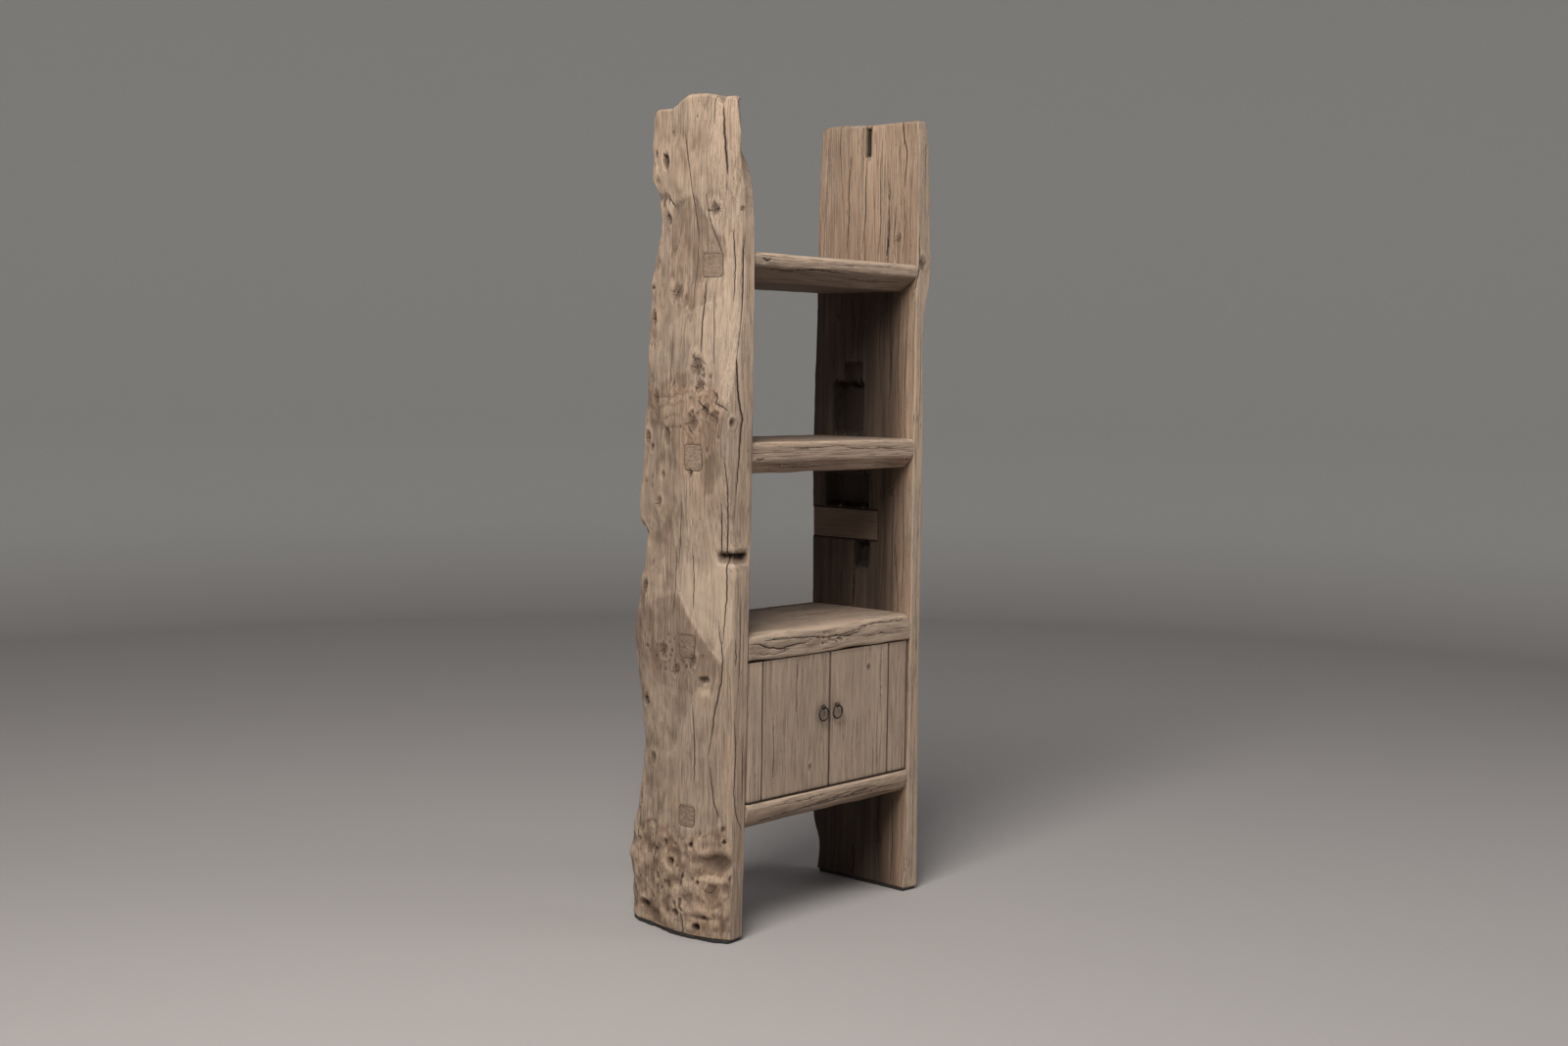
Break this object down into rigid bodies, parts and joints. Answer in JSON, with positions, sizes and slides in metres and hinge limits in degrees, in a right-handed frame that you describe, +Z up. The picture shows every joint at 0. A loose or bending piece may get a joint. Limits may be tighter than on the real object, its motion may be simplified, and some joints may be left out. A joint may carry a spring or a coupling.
{
  "type": "rustic open shelf cabinet",
  "caption": "Tall open shelf unit with slab sides, plank shelves and a low cupboard with pivoting doors and ring pulls.",
  "frame": {"origin": "bottom centre of the whole piece, on the floor plane under the rubber soles", "axes": "+Z up; -Y towards the front with the doors; +X to the viewer's right when facing the doors"},
  "size_m": [0.7262, 0.3445, 1.9286],
  "materials": {
    "weathered_elm_left": "dry, unfinished, grey-brown weathered grain",
    "weathered_elm_right": "dry, planed face, warm brown",
    "weathered_elm_board": "dry, worn edges, brown",
    "weathered_elm_door": "dry, fine vertical grain, grey-brown",
    "weathered_elm_inside": "dry, rough sawn, darker brown",
    "blackened_iron": "hand forged, black brown, satin",
    "rusted_nail_iron": "dull, lightly rusted",
    "black_foot_rubber": "matt black"
  },
  "bodies": {
    "case": {"left_slab": "weathered_elm_left", "right_slab": "weathered_elm_right", "right_slab_patch": "weathered_elm_right", "top_shelf": "weathered_elm_board", "middle_shelf": "weathered_elm_board", "cupboard_top": "weathered_elm_board", "bottom_board": "weathered_elm_board", "back_board_1": "weathered_elm_inside", "back_board_2": "weathered_elm_inside", "back_board_3": "weathered_elm_inside", "back_nail_1_low_left": "rusted_nail_iron", "back_nail_1_low_right": "rusted_nail_iron", "back_nail_1_high_left": "rusted_nail_iron", "back_nail_1_high_right": "rusted_nail_iron", "back_nail_2_low_left": "rusted_nail_iron", "back_nail_2_low_right": "rusted_nail_iron", "back_nail_2_high_left": "rusted_nail_iron", "back_nail_2_high_right": "rusted_nail_iron", "back_nail_3_low_left": "rusted_nail_iron", "back_nail_3_low_right": "rusted_nail_iron", "back_nail_3_high_left": "rusted_nail_iron", "back_nail_3_high_right": "rusted_nail_iron", "door_stop": "weathered_elm_inside", "door_stop_nail_left": "rusted_nail_iron", "door_stop_nail_right": "rusted_nail_iron", "left_door_washer": "blackened_iron", "right_door_washer": "blackened_iron", "left_sole": "black_foot_rubber", "right_sole": "black_foot_rubber"},
    "left_door": {"left_door_outer_board": "weathered_elm_door", "left_door_inner_board": "weathered_elm_door", "left_door_lower_batten": "weathered_elm_inside", "left_door_upper_batten": "weathered_elm_inside", "left_door_top_pivot": "blackened_iron", "left_door_bottom_pivot": "blackened_iron", "left_pull_eye": "blackened_iron"},
    "right_door": {"right_door_outer_board": "weathered_elm_door", "right_door_inner_board": "weathered_elm_door", "right_door_lower_batten": "weathered_elm_inside", "right_door_upper_batten": "weathered_elm_inside", "right_door_top_pivot": "blackened_iron", "right_door_bottom_pivot": "blackened_iron", "right_pull_eye": "blackened_iron"},
    "left_ring": {"left_pull_ring": "blackened_iron"},
    "right_ring": {"right_pull_ring": "blackened_iron"}
  },
  "joints": [
    {"name": "left_door_hinge", "type": "hinge", "parent": "case", "child": "left_door", "pos_m": [-0.2655, -0.146, 0.479], "axis": [0, 0, -1], "range_deg": [0, 95]},
    {"name": "right_door_hinge", "type": "hinge", "parent": "case", "child": "right_door", "pos_m": [0.2915, -0.146, 0.479], "axis": [0, 0, 1], "range_deg": [0, 95]},
    {"name": "left_ring_swing", "type": "hinge", "parent": "left_door", "child": "left_ring", "pos_m": [-0.022, -0.166, 0.5119], "axis": [-1, 0, 0], "range_deg": [-8, 175]},
    {"name": "right_ring_swing", "type": "hinge", "parent": "right_door", "child": "right_ring", "pos_m": [0.028, -0.166, 0.5119], "axis": [-1, 0, 0], "range_deg": [-8, 175]}
  ]
}
